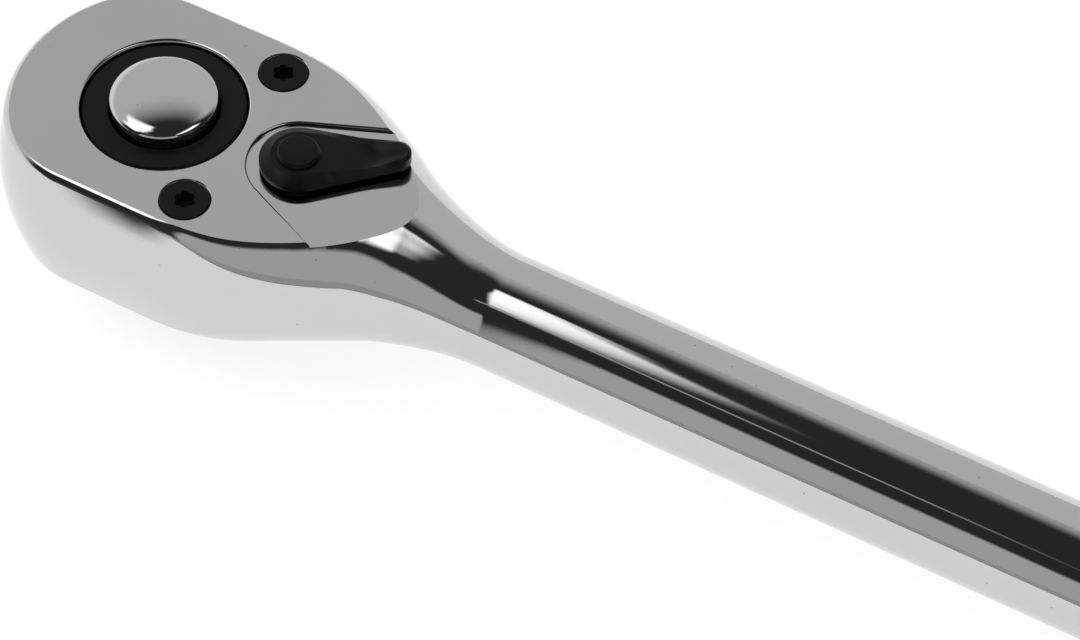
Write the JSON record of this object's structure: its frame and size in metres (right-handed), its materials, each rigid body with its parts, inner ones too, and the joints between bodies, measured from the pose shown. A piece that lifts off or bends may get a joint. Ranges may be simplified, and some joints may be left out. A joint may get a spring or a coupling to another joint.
{
  "type": "telescopic ratchet wrench",
  "caption": "Chromed ratchet wrench: rounded head with square drive, quick-release button and reversing lever, on a round shank that slides in a knurled locking handle.",
  "frame": {"origin": "on the drive axis, at the shoulder that a socket seats against", "axes": "+X along the handle, -Z along the drive square, +Y to the side that the lever rests towards"},
  "size_m": [0.4444, 0.0448, 0.0478],
  "materials": {
    "chrome": "polished chrome plating",
    "black_steel": "black oxide, satin",
    "satin_chrome": "satin chrome plating",
    "steel": "ground steel",
    "spring_steel": "drawn spring wire",
    "bronze": "turned bronze",
    "black_rubber": "moulded rubber",
    "black_plastic": "moulded plastic"
  },
  "bodies": {
    "head": {"ratchet_body": "chrome", "cover_plate": "satin_chrome", "cover_screws": "black_steel", "thrust_washer": "bronze", "pawl_pin": "steel"},
    "drive": {"drive_gear": "black_steel", "release_spring": "spring_steel"},
    "release": {"release_button": "chrome", "release_plunger": "steel"},
    "detent": {"detent_ball": "steel"},
    "selector": {"reverse_lever": "black_steel", "selector_shaft": "steel", "shaft_clip": "spring_steel", "lever_seal": "black_rubber", "pawl_follower": "steel", "pawl_spring": "spring_steel"},
    "pawl": {"pawl": "steel"},
    "handle": {"handle_tube": "chrome", "front_bush": "black_plastic", "guide_pin": "steel", "spring_seat": "spring_steel", "stop_rings": "spring_steel", "end_cap": "black_plastic", "lock_spring": "spring_steel"},
    "collar": {"lock_collar": "chrome"},
    "lock": {"lock_ball": "steel"}
  },
  "joints": [
    {"name": "drive_turn", "type": "hinge", "parent": "head", "child": "drive", "pos_m": [0, 0, 0], "axis": [0, 0, 1], "continuous": true},
    {"name": "release_press", "type": "slide", "parent": "drive", "child": "release", "axis": [0, 0, -1], "range_m": [0, 0.003], "stiffness_N_per_m": 1500, "springref_m": -0.002, "deforming": ["release_spring"]},
    {"name": "detent_move", "type": "slide", "parent": "drive", "child": "detent", "axis": [1, 0, 0], "range_m": [0, 0.0009]},
    {"name": "lever_turn", "type": "hinge", "parent": "head", "child": "selector", "pos_m": [0.024, 0, 0], "axis": [0, 0, 1], "range_deg": [-62, 0]},
    {"name": "pawl_rock", "type": "hinge", "parent": "head", "child": "pawl", "pos_m": [0.0167, 0, 0], "axis": [0, 0, 1], "range_deg": [0, 16]},
    {"name": "handle_slide", "type": "slide", "parent": "head", "child": "handle", "axis": [1, 0, 0], "range_m": [-0.138, 0]},
    {"name": "collar_slide", "type": "slide", "parent": "handle", "child": "collar", "axis": [1, 0, 0], "range_m": [0, 0.005], "stiffness_N_per_m": 1200, "springref_m": -0.004, "deforming": ["lock_spring"]},
    {"name": "lock_move", "type": "slide", "parent": "handle", "child": "lock", "axis": [0, 0, -1], "range_m": [0, 0.0013]}
  ],
  "couplings": [
    {"joint": "detent_move", "follows": "release_press", "ratio": 0.3},
    {"joint": "pawl_rock", "follows": "lever_turn", "ratio": -0.258},
    {"joint": "lock_move", "follows": "collar_slide", "ratio": 0.26}
  ]
}
